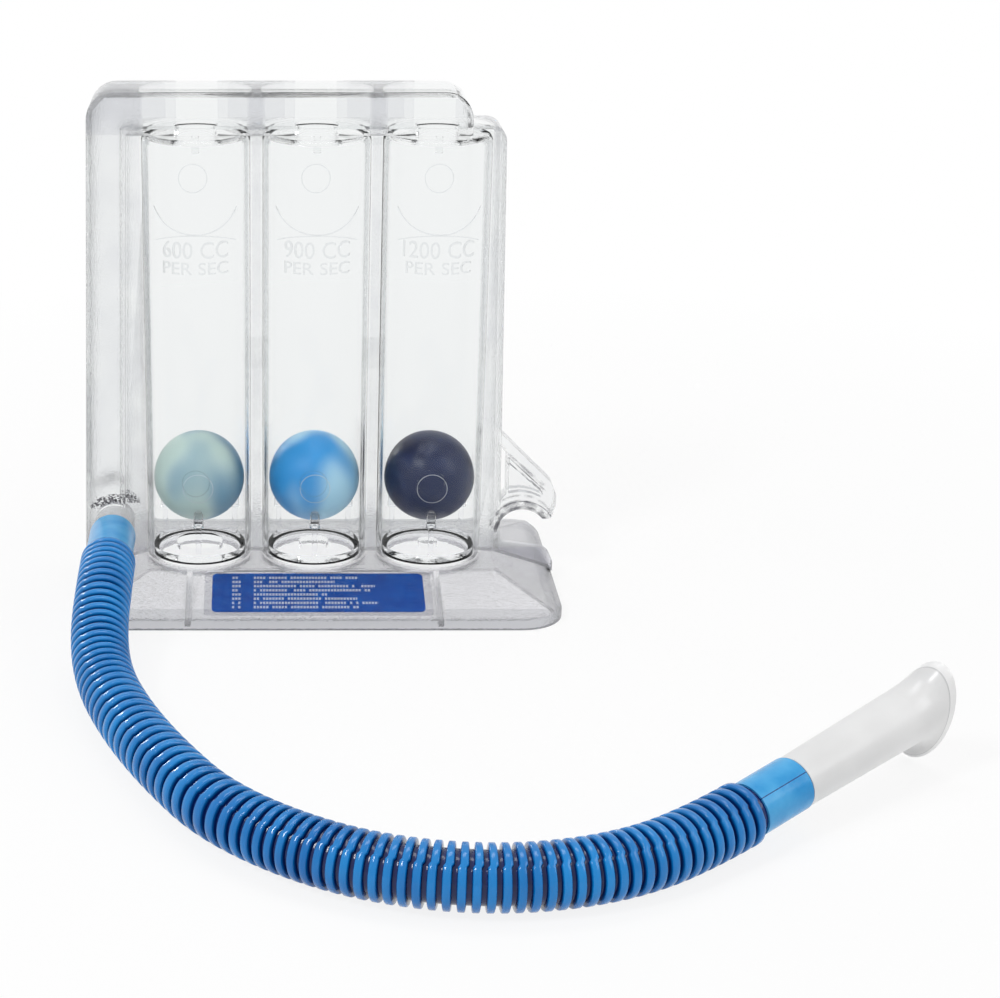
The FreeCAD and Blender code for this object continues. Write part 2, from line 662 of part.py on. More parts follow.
# Seat discs: each has three pegs that hold its ball above an air hole of its own size
def seat_disc(name, centre, hole_radius):
    body = new_body(f"seat_disc_{name}")
    sketch = new_sketch(body, "DiscPlan", "XY_Plane")
    circle(sketch, "0", "0", "Size.disc_radius")
    pad(body, "Disc", sketch, "Size.disc_thick")
    sketch = new_sketch(body, "HolePlan", "XY_Plane")
    circle(sketch, "0", "0", str(hole_radius))
    pocket(body, "Hole", sketch, "Size.disc_thick + 1", True)
    sketch = new_sketch(body, "PegProfile", "YZ_Plane")
    axis, level, rise = "-Size.peg_circle", "Size.disc_thick - 0.5", "Size.disc_thick + Size.peg_height"
    stem, head = f"{axis} + Size.peg_stem", "Size.disc_thick + Size.peg_head"
    corners = [
        (axis, level),
        (stem, level),
        (stem, head),
        (f"{axis} + Size.peg_tip", f"{head} + 0.6"),
        (f"{axis} + Size.peg_tip", rise),
        (axis, f"{rise} + Size.peg_tip"),
    ]
    points = [FreeCAD.Vector(size(x), size(y), 0) for x, y in corners]
    for start, end in ((0, 1), (1, 2), (2, 3), (3, 4), (5, 0)):
        sketch.addGeometry(Part.LineSegment(points[start], points[end]), False)
    tip_centre = FreeCAD.Vector(size(axis), size(rise), 0)
    tip = Part.Circle(tip_centre, FreeCAD.Vector(0, 0, 1), size("Size.peg_tip"))
    sketch.addGeometry(Part.ArcOfCircle(tip, 0, math.pi / 2), False)
    for joint in ((0, 2, 1, 1), (1, 2, 2, 1), (2, 2, 3, 1), (3, 2, 5, 1), (5, 2, 4, 1), (4, 2, 0, 1)):
        sketch.addConstraint(Sketcher.Constraint("Coincident", *joint))
    for shape, point, corner in ((0, 1, 0), (0, 2, 1), (1, 2, 2), (2, 2, 3), (3, 2, 4), (4, 1, 5)):
        locate(sketch, shape, point, *corners[corner])
    index = sketch.addConstraint(Sketcher.Constraint("Radius", 5, size("Size.peg_tip")))
    sketch.setExpression(f"Constraints[{index}]", "Size.peg_tip")
    axis_line(sketch, "-Size.peg_circle", "Size.disc_thick", "Size.disc_thick + 3")
    peg = revolve(body, "Peg", sketch)
    ring = body.newObject("PartDesign::PolarPattern", f"{body.Name}_Pegs")
    ring.Originals = [peg]
    vertical = next(item for item in body.Origin.OriginFeatures if item.Role == "Z_Axis")
    ring.Axis = (vertical, [""])
    ring.Angle = 360
    ring.Occurrences = 3
    body.Tip = ring
    body.setExpression("Placement.Base.x", centre)
    body.setExpression("Placement.Base.z", "Size.disc_base")
    return body


def hollow_ball(name, centre):
    outside = doc.addObject("Part::Sphere", f"ball_{name}_outside")
    outside.setExpression("Radius", "Size.ball_radius")
    inside = doc.addObject("Part::Sphere", f"ball_{name}_inside")
    inside.setExpression("Radius", "Size.ball_radius - Size.ball_skin")
    ball = doc.addObject("Part::Cut", f"ball_{name}_solid")
    ball.Base = outside
    ball.Tool = inside
    ball.Label = f"ball_{name}"
    ball.setExpression("Placement.Base.x", centre)
    ball.setExpression("Placement.Base.z", "Size.ball_rest")
    return ball


parts = [front_shell, rear_shell]
for tube_name, (tube_centre, air_hole) in TUBES.items():
    parts.append(seat_disc(tube_name, tube_centre, air_hole))
    parts.append(hollow_ball(tube_name, tube_centre))

# Label in its recess on the front of the foot
label = new_body("label")
label_plan = slope_sketch(label, "LabelPlan")
rounded_rectangle(
    label_plan,
    "-Size.label_centre - Size.label_width / 2",
    "-Size.label_centre + Size.label_width / 2",
    "Size.label_start",
    "Size.label_start + Size.label_height",
    "Size.label_corner",
)
label_plan.setExpression("AttachmentOffset.Base.z", "Size.lip_height - Size.recess_depth")
pad(label, "Sheet", label_plan, "Size.label_thick")
parts.append(label)


# Cuffs: a thin sleeve with a stop inside, along the Z axis of its own body
def cuff(name, length, stop_from_rim):
    body = new_body(name)
    sketch = new_sketch(body, "SleevePlan", "XY_Plane")
    circle(sketch, "0", "0", "Size.cuff_radius")
    sleeve = pad(body, "Sleeve", sketch, length)
    rim = edges_at(sleeve.Shape, [(-size("Size.cuff_radius"), 0, size(length))])
    fillet(body, "SleeveRim", sleeve, rim, "0.35")
    sketch = new_sketch(body, "ThroatPlan", "XY_Plane")
    circle(sketch, "0", "0", "Size.cuff_throat")
    pocket(body, "Throat", sketch, length, True)
    sketch = new_sketch(body, "SocketPlan", "XY_Plane", length)
    circle(sketch, "0", "0", "Size.cuff_bore")
    pocket(body, "Socket", sketch, stop_from_rim)
    return body


port_cuff = cuff(
    "hose_cuff_port",
    "Size.port_cuff_end - Size.port_cuff_start",
    "Size.port_cuff_stop - Size.port_cuff_start",
)
port_cuff.Placement = FreeCAD.Placement(
    FreeCAD.Vector(-size("Size.port_left"), -size("Size.port_cuff_end"), size("Size.port_height")),
    FreeCAD.Rotation(FreeCAD.Vector(1, 0, 0), -90),
)
parts.append(port_cuff)

# Route of the hose: out of the port cuff, down to the floor, round the front and up to the cuff
PORT_EXIT = (-58.0, -34.5, 18.4)
MOUTH_END = (90.4, -158.9, 9.0)
MOUTH_YAW = 37.8
MOUTH_RISE = 7.5
HOSE_ROUTE = [
    PORT_EXIT,
    (-58.0, -48.6, 18.4),
    (-58.4, -70.2, 12.6),
    (-56.0, -88.0, 8.2),
    (-49.0, -110.0, 7.4),
    (-39.3, -132.8, 7.4),
    (-25.9, -157.3, 7.4),
    (-3.1, -176.9, 7.4),
    (19.8, -185.3, 7.4),
    (42.3, -185.8, 7.4),
    (63.8, -179.0, 7.4),
    (81.8, -165.5, 7.6),
    MOUTH_END,
]


def hose_path(points):
    vectors = [FreeCAD.Vector(*point) for point in points]
    edges = []
    radii = []
    last = vectors[0]
    for before, corner, after in zip(vectors, vectors[1:], vectors[2:]):
        inward = (before - corner).normalize()
        outward = (after - corner).normalize()
        half_turn = (math.pi - inward.getAngle(outward)) / 2
        shorter = min(corner.distanceToPoint(before), corner.distanceToPoint(after))
        trim = 0.45 * shorter
        radius = trim / math.tan(half_turn)
        start = corner + inward * trim
        end = corner + outward * trim
        towards_centre = (inward + outward).normalize()
        centre = corner + towards_centre * (radius / math.cos(half_turn))
        middle = centre - towards_centre * radius
        edges.append(Part.LineSegment(last, start).toShape())
        edges.append(Part.Arc(start, middle, end).toShape())
        radii.append(radius)
        last = end
    edges.append(Part.LineSegment(last, vectors[-1]).toShape())
    return Part.Wire(edges), radii


def swept(path, radius):
    start = path.Edges[0].valueAt(path.Edges[0].FirstParameter)
    heading = path.Edges[0].tangentAt(path.Edges[0].FirstParameter)
    ring = Part.Wire([Part.Circle(start, heading, radius).toShape()])
    return path.makePipeShell([ring], True, False)


path, radii = hose_path(HOSE_ROUTE)
print("hose length", round(path.Length, 1), "radii", [round(radius) for radius in radii])
hose_shape = swept(path, size("Size.hose_radius")).cut(swept(path, size("Size.hose_bore")))
ring_area = math.pi * (size("Size.hose_radius") ** 2 - size("Size.hose_bore") ** 2)
if abs(hose_shape.Volume / (ring_area * path.Length) - 1) > 0.01:
    raise RuntimeError("the hose has the wrong volume")
hose = doc.addObject("Part::Feature", "hose")
hose.Label = "hose"
hose.Shape = hose_shape
parts.append(hose)

# Both pieces at the far end share one axis, which rises a little from the floor
mouth_turn = FreeCAD.Rotation(FreeCAD.Vector(0, 0, 1), MOUTH_YAW)
mouth_turn = mouth_turn * FreeCAD.Rotation(FreeCAD.Vector(0, 1, 0), 90 - MOUTH_RISE)
mouth_cuff = cuff(
    "hose_cuff_mouth",
    "Size.mouth_cuff_length",
    "Size.mouth_cuff_length - Size.mouth_cuff_stop",
)
mouth_cuff.Placement = FreeCAD.Placement(FreeCAD.Vector(*MOUTH_END), mouth_turn)
parts.append(mouth_cuff)

# Lip of the mouthpiece: distance along the axis from the cuff rim, half length and half width of
# the oval section and how far its centre sits below the axis
MOUTH_LIP = [
    (40.0, 7.3, 6.85, 0.1),
    (42.5, 8.6, 6.95, 0.6),
    (45.0, 11.4, 7.05, 1.6),
    (47.0, 14.2, 7.2, 2.6),
    (48.5, 15.1, 7.25, 2.9),
]
MOUTH_TILT = 20.9
BARREL_START = 0.2
BARREL_END = 37.0
BARREL_RADII = (6.2, 6.85)


def placed(item, z, x=0):
    item.Placement = FreeCAD.Placement(FreeCAD.Vector(x, 0, z), FreeCAD.Rotation())
    return item


def lip_loft(name, shrink, overrun):
    root = placed(doc.addObject("Part::Circle", f"{name}_root"), BARREL_END)
    root.Radius = BARREL_RADII[1] - shrink
    rings = [root]
    for index, (level, half_length, half_width, drop) in enumerate(MOUTH_LIP):
        end = overrun if index == len(MOUTH_LIP) - 1 else 0
        ring = placed(doc.addObject("Part::Ellipse", f"{name}_{index}"), level + end, drop)
        ring.MajorRadius = half_length - shrink
        ring.MinorRadius = half_width - shrink
        rings.append(ring)
    loft = doc.addObject("Part::Loft", name)
    loft.Sections = rings
    loft.Solid = True
    return loft


def barrel_cone(name, shrink, start):
    cone = placed(doc.addObject("Part::Cone", name), start)
    cone.Radius1 = BARREL_RADII[0] - shrink
    cone.Radius2 = BARREL_RADII[1] - shrink
    cone.Height = BARREL_END - start
    return cone


def tube(name, radius, start, height):
    cylinder = doc.addObject("Part::Cylinder", name)
    cylinder.setExpression("Radius", radius)
    cylinder.setExpression("Height", height)
    cylinder.setExpression("Placement.Base.z", start)
    return cylinder


def joined(name, pieces):
    whole = doc.addObject("Part::MultiFuse", name)
    whole.Shapes = pieces
    return whole


def mouthpiece():
    wall = size("Size.mouth_wall")
    outside = joined(
        "mouth_outside",
        [
            barrel_cone("mouth_barrel", 0, BARREL_START),
            lip_loft("mouth_lip", 0, 0),
            tube("mouth_plug", "Size.plug_radius", "-Size.plug_length", "Size.plug_length + 1"),
        ],
    )
    passage = "Size.plug_radius - Size.mouth_wall"
    inside = joined(
        "mouth_inside",
        [
            barrel_cone("mouth_bore", wall, 1.2),
            lip_loft("mouth_opening", wall, 0.4),
            tube("mouth_passage", passage, "-Size.plug_length - 1", "Size.plug_length + 3"),
        ],
    )
    piece = doc.addObject("Part::Cut", "mouthpiece_solid")
    piece.Base = outside
    piece.Tool = inside
    piece.Label = "mouthpiece"
    roll = FreeCAD.Rotation(FreeCAD.Vector(0, 0, 1), MOUTH_TILT)
    rim = mouth_turn.multVec(FreeCAD.Vector(0, 0, size("Size.mouth_cuff_length")))
    piece.Placement = FreeCAD.Placement(FreeCAD.Vector(*MOUTH_END) + rim, mouth_turn * roll)
    return piece


parts.append(mouthpiece())

recompute_and_check()
os.makedirs("parts", exist_ok=True)
for part in parts:
    shape = part.Shape
    if shape.isNull() or not shape.isValid():
        raise RuntimeError(f"{part.Label} has no valid shape")
    box = shape.BoundBox
    print(
        part.Label,
        len(shape.Solids),
        "solid",
        round(shape.Volume),
        "mm3",
        [round(value, 1) for value in (box.XMin, box.YMin, box.ZMin, box.XMax, box.YMax, box.ZMax)],
    )
    shape.exportStep(f"parts/{part.Label}.step")
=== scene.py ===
import math

import bmesh
import bpy
from mathutils import Matrix, Vector


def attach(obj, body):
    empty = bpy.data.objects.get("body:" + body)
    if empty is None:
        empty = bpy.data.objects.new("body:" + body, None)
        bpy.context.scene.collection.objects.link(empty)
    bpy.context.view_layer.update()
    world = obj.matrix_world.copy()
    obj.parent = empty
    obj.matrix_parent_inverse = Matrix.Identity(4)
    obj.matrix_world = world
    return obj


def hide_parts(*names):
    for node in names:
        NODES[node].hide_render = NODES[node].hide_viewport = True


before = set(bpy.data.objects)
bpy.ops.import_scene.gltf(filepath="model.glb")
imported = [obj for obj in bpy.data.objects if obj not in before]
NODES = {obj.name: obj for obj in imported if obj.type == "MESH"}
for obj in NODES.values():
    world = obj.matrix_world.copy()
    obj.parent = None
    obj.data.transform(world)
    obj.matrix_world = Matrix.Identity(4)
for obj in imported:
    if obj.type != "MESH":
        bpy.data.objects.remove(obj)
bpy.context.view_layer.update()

# Sizes in metres, as in the model's source
TUBE_X = {"600": -0.0342, "900": -0.0017, "1200": 0.0308}
TUBE_RADIUS = 0.0147
BALL_RADIUS = 0.0127
BALL_REST = 0.0311
PORT_X, PORT_Z = -0.058, 0.0184
PORT_ALONG = Vector((0, -1, 0))
HOOK_ARCH = (0.0576, 0.0134)
# The slit in the arm of the hook: its ends and its length
SLIT = ((0.0525, 0.0357), (0.0636, 0.0257), 0.0149)
WALL_SIDE = 0.0484
LIP_TOP = 0.0032
FOOT_TOP = 0.0093
CHAMBER_FLOOR = 0.008
DUCT_FLOOR = 0.1288
PEG_REACH = 0.0117
HOSE_RADIUS = 0.0074
HOSE_GROOVE = 0.0059
MOUTH_END = Vector((0.0904, -0.1589, 0.0090))
MOUTH_YAW = math.radians(37.8)
MOUTH_RISE = math.radians(7.5)
MOUTH_ALONG = Vector((
    math.cos(MOUTH_RISE) * math.cos(MOUTH_YAW),
    math.cos(MOUTH_RISE) * math.sin(MOUTH_YAW),
    math.sin(MOUTH_RISE),
))
HOSE_ROUTE = [
    (-0.0580, -0.0345, 0.0184),
    (-0.0580, -0.0486, 0.0184),
    (-0.0584, -0.0702, 0.0126),
    (-0.0560, -0.0880, 0.0082),
    (-0.0490, -0.1100, 0.0074),
    (-0.0393, -0.1328, 0.0074),
    (-0.0259, -0.1573, 0.0074),
    (-0.0031, -0.1769, 0.0074),
    (0.0198, -0.1853, 0.0074),
    (0.0423, -0.1858, 0.0074),
    (0.0638, -0.1790, 0.0074),
    (0.0818, -0.1655, 0.0076),
    (0.0904, -0.1589, 0.0090),
]

# The ring on a ball faces the front, a little below the middle
RING_RADIUS = 0.0041
RING_AXIS = Vector((0, -1, 0.012)).normalized()
# The label's printed rows, by their distance to the front
LABEL_TOP = -0.0188
ROW_PITCH = 0.00195
LETTER = 0.00085
# Heights of the raised marks on a chamber
RING_LEVELS = {"upper": 0.119, "lower": 0.0336}
BOW_LEVEL = 0.1187
LINE_LEVEL = 0.1035
NUMBER_LEVEL = 0.0973
UNIT_LEVEL = 0.0929


def ball_centre(name):
    return Vector((TUBE_X[name], 0, BALL_REST))


# Node helpers
class Nodes:
    def __init__(self, name):
        self.material = bpy.data.materials.new(name)
        self.material.use_nodes = True
        self.tree = self.material.node_tree
        self.tree.nodes.clear()
        self.output = self.tree.nodes.new("ShaderNodeOutputMaterial")

    def add(self, kind, **values):
        node = self.tree.nodes.new(kind)
        for key, value in values.items():
            if hasattr(node, key) and key not in node.inputs:
                setattr(node, key, value)
            else:
                node.inputs[key].default_value = value
        return node

    def link(self, source, target):
        self.tree.links.new(source, target)

    def math(self, operation, first, second=None, clamp=False):
        node = self.tree.nodes.new("ShaderNodeMath")
        node.operation = operation
        node.use_clamp = clamp
        for index, value in enumerate((first, second)):
            if value is None:
                continue
            if isinstance(value, (int, float)):
                node.inputs[index].default_value = value
            else:
                self.link(value, node.inputs[index])
        return node.outputs[0]

    def times(self, *values):
        product = values[0]
        for value in values[1:]:
            product = self.math("MULTIPLY", product, value)
        return product

    def ramp(self, factor, stops, smooth=False):
        node = self.tree.nodes.new("ShaderNodeValToRGB")
        node.color_ramp.interpolation = "EASE" if smooth else "LINEAR"
        elements = node.color_ramp.elements
        while len(elements) < len(stops):
            elements.new(0.5)
        for element, (position, colour) in zip(elements, stops):
            element.position = position
            element.color = (*colour, 1) if len(colour) == 3 else colour
        self.link(factor, node.inputs["Fac"])
        return node.outputs["Color"]

    def mix(self, factor, first, second):
        node = self.tree.nodes.new("ShaderNodeMix")
        node.data_type = "RGBA"
        for index, value in ((0, factor), (6, first), (7, second)):
            socket = node.inputs[index]
            if isinstance(value, (int, float)):
                socket.default_value = value
            elif isinstance(value, tuple):
                socket.default_value = (*value, 1) if len(value) == 3 else value
            else:
                self.link(value, socket)
        return node.outputs[2]

    def position(self):
        return self.tree.nodes.new("ShaderNodeTexCoord").outputs["Object"]

    def noise(self, scale, detail=2, where=None):
        node = self.add("ShaderNodeTexNoise", Scale=scale, Detail=detail)
        self.link(where or self.position(), node.inputs["Vector"])
        return node.outputs["Fac"]

    def reach(self, first, second, centre, level):
        across = self.math("ADD", first, -centre)
        up = self.math("ADD", second, -level)
        square = self.math("ADD", self.times(across, across), self.times(up, up))
        return self.math("SQRT", square)

    # How far a point lies along the line from start to end, and off it
    def beside(self, first, second, start, end, length):
        across = self.math("ADD", first, -start[0])
        up = self.math("ADD", second, -start[1])
        run, rise = (end[0] - start[0]) / length, (end[1] - start[1]) / length
        along = self.math("ADD", self.times(across, run), self.times(up, rise))
        off = self.math("SUBTRACT", self.times(up, run), self.times(across, rise))
        return along, off

    def band(self, value, low, high):
        above, below = self.math("GREATER_THAN", value, low), self.math("LESS_THAN", value, high)
        return self.times(above, below)

    def bump(self, height, distance=1.0):
        node = self.add("ShaderNodeBump", Distance=distance, Strength=1.0)
        self.link(height, node.inputs["Height"])
        return node.outputs["Normal"]

    def finish(self, shader):
        self.link(shader, self.output.inputs["Surface"])
        return self.material


def srgb(red, green, blue):
    return tuple(
        channel / 12.92 if channel <= 0.04045 else ((channel + 0.055) / 1.055) ** 2.4
        for channel in (red / 255, green / 255, blue / 255)
    )


# Clear moulded plastic
def clear_plastic(name, colour, bump_scale, bump_depth, roughness, bend=1.2):
    nodes = Nodes(name)
    look = {"Base Color": (*colour, 1), "Roughness": roughness, "IOR": bend}
    shader = nodes.add("ShaderNodeBsdfPrincipled", **{**look, "Transmission Weight": 1.0})
    grain = nodes.noise(bump_scale, 3)
    nodes.link(nodes.bump(grain, bump_depth), shader.inputs["Normal"])
    return nodes.finish(shader.outputs["BSDF"])


# Clear chambers, and flats with the fine grain of an etched mould
def shell_material():
    nodes = Nodes("clear_shell")
    shader = nodes.add("ShaderNodeBsdfPrincipled", **{"IOR": 1.17, "Transmission Weight": 1.0})
    where = nodes.position()
    split = nodes.add("ShaderNodeSeparateXYZ")
    nodes.link(where, split.inputs[0])
    x, y, z = split.outputs
    clear = None
    for centre in TUBE_X.values():
        near = nodes.math("LESS_THAN", nodes.reach(x, y, centre, 0), TUBE_RADIUS + 0.0004)
        clear = near if clear is None else nodes.math("MAXIMUM", clear, near)
    clear = nodes.times(clear, nodes.math("GREATER_THAN", z, CHAMBER_FLOOR))
    etched = nodes.math("SUBTRACT", 1.0, clear)
    duct = nodes.math("GREATER_THAN", z, DUCT_FLOOR)
    grain = nodes.times(nodes.noise(2600, 2, where), 0.00026, nodes.math("ADD", duct, 1.0))
    waves = nodes.times(nodes.noise(260, 1, where), 0.00008)
    height = nodes.times(nodes.math("ADD", grain, waves), etched)
    flow = nodes.times(nodes.noise(60, 1, where), 0.00012)
    nodes.link(nodes.bump(nodes.math("ADD", height, flow)), shader.inputs["Normal"])
    stops = [(0.3, srgb(241, 242, 243)), (0.7, srgb(247, 248, 248))]
    cloud = nodes.ramp(nodes.noise(90, 2, where), stops)
    # The foot a little greyer, and the lip at the very bottom much darker: painted shade along the
    # floor
    cloud = nodes.mix(nodes.math("LESS_THAN", z, FOOT_TOP), cloud, srgb(235, 235, 238))
    cloud = nodes.mix(nodes.math("LESS_THAN", z, LIP_TOP), cloud, srgb(200, 201, 205))
    cloud = nodes.mix(duct, cloud, srgb(234, 235, 237))
    # Painted shade at the edges of the hose hook, standing in for their refraction: two dark lines
    # round its arch and the two sides of its slit
    from_arch = nodes.reach(x, z, *HOOK_ARCH)
    wide, thin = nodes.band(from_arch, 0.0073, 0.0082), nodes.band(from_arch, 0.0095, 0.0098)
    over = nodes.math("GREATER_THAN", z, HOOK_ARCH[1] + 0.001)
    edge = nodes.times(nodes.math("MAXIMUM", wide, thin), over)
    along, off = nodes.beside(x, z, *SLIT)
    sides = nodes.band(nodes.math("ABSOLUTE", off), 0.0005, 0.0008)
    sides = nodes.times(sides, nodes.band(along, 0.0, SLIT[2]))
    beyond = nodes.math("GREATER_THAN", x, WALL_SIDE)
    edge = nodes.times(nodes.math("MAXIMUM", edge, sides), beyond)
    dash = nodes.math("MULTIPLY", nodes.math("ADD", nodes.noise(420, 2, where), -0.38), 6.0, True)
    cloud = nodes.mix(nodes.times(edge, dash), cloud, srgb(84, 84, 90))
    # Painted shade round the root of the hose port: dark specks standing in for the refraction of
    # the spigot's root seen through the etched front
    root = nodes.band(nodes.reach(x, z, PORT_X, PORT_Z), 0.0062, 0.0086)
    root = nodes.times(root, nodes.math("GREATER_THAN", z, PORT_Z + 0.0048))
    shade_speck = nodes.math("GREATER_THAN", nodes.noise(1900, 2, where), 0.53)
    cloud = nodes.mix(nodes.times(root, shade_speck), cloud, srgb(64, 63, 68))
    nodes.link(nodes.mix(clear, cloud, srgb(248, 249, 249)), shader.inputs["Base Color"])
    blur = nodes.math("ADD", nodes.times(etched, 0.11), 0.03)
    nodes.link(blur, shader.inputs["Roughness"])
    return nodes.finish(shader.outputs["BSDF"])


# Glossy blue plastic, with painted shade down in the grooves
def hose_material():
    nodes = Nodes("hose_blue")
    shader = nodes.add("ShaderNodeBsdfPrincipled", Roughness=0.14, IOR=1.45)
    where = nodes.position()
    blotch = nodes.noise(70, 2, where)
    colour = nodes.ramp(blotch, [(0.3, srgb(2, 110, 186)), (0.7, srgb(18, 138, 214))])
    depth = nodes.add("ShaderNodeAttribute", attribute_name="relief").outputs["Fac"]
    # Painted shade: the colour darkens from the ridge tops down into the grooves, by the ridge
    # height stored in "relief"
    shade = nodes.ramp(depth, [(0.0, (0, 0, 0)), (0.35, (0.12, 0.12, 0.12)), (0.8, (1, 1, 1))])
    colour = nodes.mix(shade, srgb(2, 30, 96), colour)
    nodes.link(colour, shader.inputs["Base Color"])
    nodes.link(nodes.bump(nodes.noise(900, 2, where), 0.00005), shader.inputs["Normal"])
    return nodes.finish(shader.outputs["BSDF"])


# The mould's parting line along a cuff
def cuff_material(name, start, axis, seam):
    nodes = Nodes(name)
    shader = nodes.add("ShaderNodeBsdfPrincipled", Roughness=0.22, IOR=1.4)
    where = nodes.position()
    offset = nodes.add("ShaderNodeVectorMath", operation="SUBTRACT")
    nodes.link(where, offset.inputs[0])
    offset.inputs[1].default_value = start
    sides = []
    for toward in (axis.cross(seam), seam):
        dot = nodes.add("ShaderNodeVectorMath", operation="DOT_PRODUCT")
        nodes.link(offset.outputs[0], dot.inputs[0])
        dot.inputs[1].default_value = toward
        sides.append(dot.outputs["Value"])
    thin = nodes.math("LESS_THAN", nodes.math("ABSOLUTE", sides[0]), 0.00011)
    facing = nodes.math("GREATER_THAN", sides[1], 0.0)
    line = nodes.times(thin, facing)
    stops = [(0.3, srgb(34, 146, 212)), (0.7, srgb(84, 178, 232))]
    cloud = nodes.ramp(nodes.noise(130, 3, where), stops)
    nodes.link(nodes.mix(line, cloud, srgb(8, 48, 116)), shader.inputs["Base Color"])
    nodes.link(nodes.bump(nodes.noise(900, 2, where), 0.00005), shader.inputs["Normal"])
    return nodes.finish(shader.outputs["BSDF"])


# Satin balls, each with the ring that its mould's ejector leaves
def ball_material(name, centre, dark, light):
    nodes = Nodes(name)
    shader = nodes.add("ShaderNodeBsdfPrincipled", Roughness=0.38, IOR=1.45)
    where = nodes.position()
    offset = nodes.add("ShaderNodeVectorMath", operation="SUBTRACT")
    nodes.link(where, offset.inputs[0])
    offset.inputs[1].default_value = centre
    dot = nodes.add("ShaderNodeVectorMath", operation="DOT_PRODUCT")
    nodes.link(offset.outputs[0], dot.inputs[0])
    dot.inputs[1].default_value = RING_AXIS
    # The cosine of a ring's half angle times the radius is its height on the axis
    height = nodes.math("DIVIDE", dot.outputs["Value"], BALL_RADIUS)
    level = math.cos(math.asin(RING_RADIUS / BALL_RADIUS))
    off = nodes.math("ABSOLUTE", nodes.math("SUBTRACT", height, level))
    ring = nodes.math("LESS_THAN", off, 0.0024)
    upright = nodes.add("ShaderNodeVectorMath", operation="MULTIPLY")
    nodes.link(where, upright.inputs[0])
    upright.inputs[1].default_value = (1.0, 1.0, 0.3)
    swirl = nodes.noise(58, 1, upright.outputs[0])
    colour = nodes.ramp(swirl, [(0.4, dark), (0.6, light)], True)
    colour = nodes.mix(nodes.times(ring, 0.65), colour, srgb(225, 232, 238))
    nodes.link(colour, shader.inputs["Base Color"])
    grain = nodes.times(nodes.noise(700, 2, where), 0.00004)
    relief = nodes.math("ADD", grain, nodes.times(ring, 0.00008))
    nodes.link(nodes.bump(relief), shader.inputs["Normal"])
    return nodes.finish(shader.outputs["BSDF"])


# White plastic with a faint gloss, and a bead along the lip's rim
def mouth_material():
    nodes = Nodes("mouth_white")
    look = {"Roughness": 0.28, "IOR": 1.45, "Coat Weight": 0.1}
    shader = nodes.add("ShaderNodeBsdfPrincipled", **look)
    where = nodes.position()
    along = nodes.add("ShaderNodeVectorMath", operation="DOT_PRODUCT")
    nodes.link(where, along.inputs[0])
    along.inputs[1].default_value = MOUTH_ALONG
    along = along.outputs["Value"]
    rim = max(vertex.co.dot(MOUTH_ALONG) for vertex in NODES["mouthpiece"].data.vertices)
    line = nodes.band(along, rim - 0.0022, rim - 0.0019)
    stops = [(0.3, srgb(224, 224, 224)), (0.7, srgb(235, 235, 235))]
    cloud = nodes.ramp(nodes.noise(50, 2, where), stops)
    bead = nodes.math("GREATER_THAN", along, rim - 0.0019)
    cloud = nodes.mix(bead, cloud, srgb(240, 240, 240))
    cloud = nodes.mix(line, cloud, srgb(208, 208, 209))
    nodes.link(cloud, shader.inputs["Base Color"])
    lip = nodes.times(nodes.math("GREATER_THAN", along, rim - 0.0020), 0.00025)
    relief = nodes.math("ADD", nodes.times(nodes.noise(600, 2, where), 0.00005), lip)
    nodes.link(nodes.bump(relief), shader.inputs["Normal"])
    return nodes.finish(shader.outputs["BSDF"])


# A printed sheet: rows of plain white bars, broken up into shorter ones
def label_material():
    nodes = Nodes("label_blue")
    shader = nodes.add("ShaderNodeBsdfPrincipled", Roughness=0.42, IOR=1.25)
    where = nodes.position()
    split = nodes.add("ShaderNodeSeparateXYZ")
    nodes.link(where, split.inputs[0])
    x, y, z = split.outputs
    down = nodes.math("DIVIDE", nodes.math("SUBTRACT", LABEL_TOP, y), ROW_PITCH)
    row = nodes.math("FLOOR", down)
    inside = nodes.math("LESS_THAN", nodes.math("FRACT", down), 0.56)
    inside = nodes.times(inside, nodes.band(down, 0.0, 8.0))
    cell = nodes.math("FLOOR", nodes.math("DIVIDE", x, LETTER))
    place = nodes.add("ShaderNodeCombineXYZ")
    nodes.link(cell, place.inputs[0])
    nodes.link(row, place.inputs[1])
    random = nodes.add("ShaderNodeTexWhiteNoise", noise_dimensions="2D")
    nodes.link(place.outputs[0], random.inputs["Vector"])
    gap = nodes.math("GREATER_THAN", random.outputs["Value"], 0.12)
    stroke = nodes.math("LESS_THAN", nodes.math("FRACT", nodes.math("DIVIDE", x, LETTER)), 0.72)
    ends = nodes.add("ShaderNodeTexWhiteNoise", noise_dimensions="1D")
    nodes.link(row, ends.inputs["W"])
    limit = nodes.math("ADD", nodes.times(ends.outputs["Value"], 0.015), 0.0015)
    rows, codes = nodes.band(x, -0.0187, limit), nodes.band(x, -0.0247, -0.0222)
    ink = nodes.times(inside, nodes.math("MAXIMUM", rows, codes), gap, stroke)
    stops = [(0.35, srgb(4, 76, 172)), (0.7, srgb(22, 98, 196))]
    sheet = nodes.ramp(nodes.noise(240, 2, where), stops)
    sheet = nodes.mix(nodes.times(ink, 0.95), sheet, srgb(214, 226, 240))
    nodes.link(sheet, shader.inputs["Base Color"])
    nodes.link(nodes.bump(nodes.noise(500, 2, where), 0.00005), shader.inputs["Normal"])
    return nodes.finish(shader.outputs["BSDF"])


# The direction from a cuff's axis to its parting line, turned from straight up towards the viewer
def seam_side(along, turn):
    level = along.cross(Vector((0, 0, 1))).normalized()
    up = level.cross(along)
    return up * math.cos(turn) + level * math.sin(turn)


